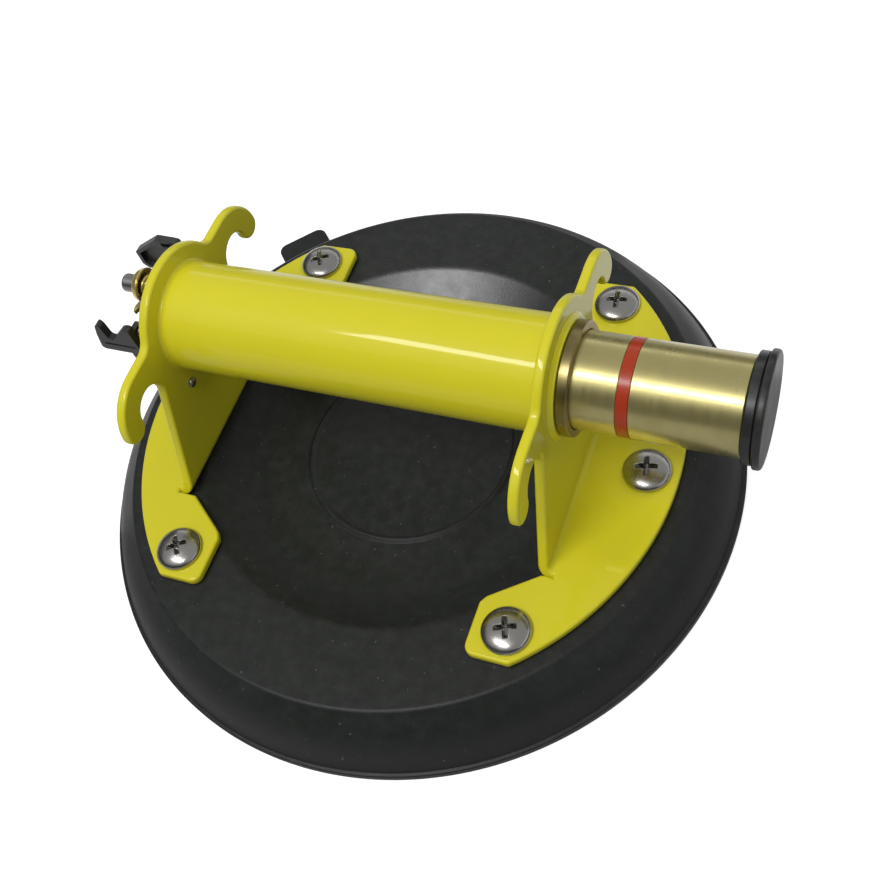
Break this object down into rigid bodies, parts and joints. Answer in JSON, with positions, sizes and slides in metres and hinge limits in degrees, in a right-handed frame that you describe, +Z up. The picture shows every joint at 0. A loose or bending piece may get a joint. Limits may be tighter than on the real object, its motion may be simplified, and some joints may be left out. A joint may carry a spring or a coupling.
{
  "type": "suction cup lifter",
  "caption": "Round rubber suction pad with a hand pump in a painted tube handle on two bent brackets with side hooks, and a release lever.",
  "frame": {"origin": "on the surface the pad stands on, under the middle of the whole object, 4.9 mm from the pad's centre towards the plunger", "axes": "+X along the handle towards the plunger's cap, +Z up from the pad, so the release lever is at -X"},
  "size_m": [0.2638, 0.254, 0.1077],
  "materials": {
    "pad_rubber": "satin moulded charcoal rubber",
    "black_rubber": "matte seal rubber",
    "yellow_paint": "glossy lemon yellow powder coat on steel",
    "satin_brass": "satin brass with fine turning marks",
    "stainless": "polished stainless steel",
    "zinc_steel": "zinc plated steel",
    "red_plastic": "red plastic ring",
    "black_plastic": "dark grey moulded plastic",
    "filter_felt": "pressed felt"
  },
  "bodies": {
    "frame": {"rubber_pad": "pad_rubber", "backing_plate": "zinc_steel", "left_bracket": "yellow_paint", "right_bracket": "yellow_paint", "handle_tube": "yellow_paint", "weld_left": "yellow_paint", "weld_right": "yellow_paint", "weld_collar": "yellow_paint", "pump_barrel": "satin_brass", "barrel_wiper": "black_rubber", "check_seat": "satin_brass", "check_flap": "black_rubber", "plunger_spring": "zinc_steel", "end_plug": "black_plastic", "plug_seal": "black_rubber", "valve_body": "satin_brass", "valve_washer": "satin_brass", "valve_stem": "stainless", "lever_bracket": "zinc_steel", "lever_pin": "stainless", "lever_screw_front": "stainless", "lever_screw_back": "stainless", "lever_spring_front": "satin_brass", "lever_spring_back": "satin_brass", "suction_pipe": "satin_brass", "pad_port": "satin_brass", "air_filter": "filter_felt", "pad_screw_1": "stainless", "pad_screw_2": "stainless", "pad_screw_3": "stainless", "pad_screw_4": "stainless", "pad_screw_5": "stainless", "pad_screw_6": "stainless"},
    "plunger": {"plunger_tube": "satin_brass", "red_band": "red_plastic", "plunger_cap": "black_plastic", "piston": "satin_brass", "piston_seal": "black_rubber"},
    "lever": {"release_lever": "black_plastic"}
  },
  "joints": [
    {"name": "plunger_slide", "type": "slide", "parent": "frame", "child": "plunger", "axis": [1, 0, 0], "range_m": [-0.05, 0], "stiffness_N_per_m": 180, "springref_m": 0.015, "deforming": ["plunger_spring"]},
    {"name": "lever_tilt", "type": "hinge", "parent": "frame", "child": "lever", "pos_m": [-0.0919, 0, 0.072], "axis": [0, 0, 1], "range_deg": [-10, 10], "stiffness_Nm_per_rad": 0.3, "deforming": ["lever_spring_front", "lever_spring_back"]}
  ]
}
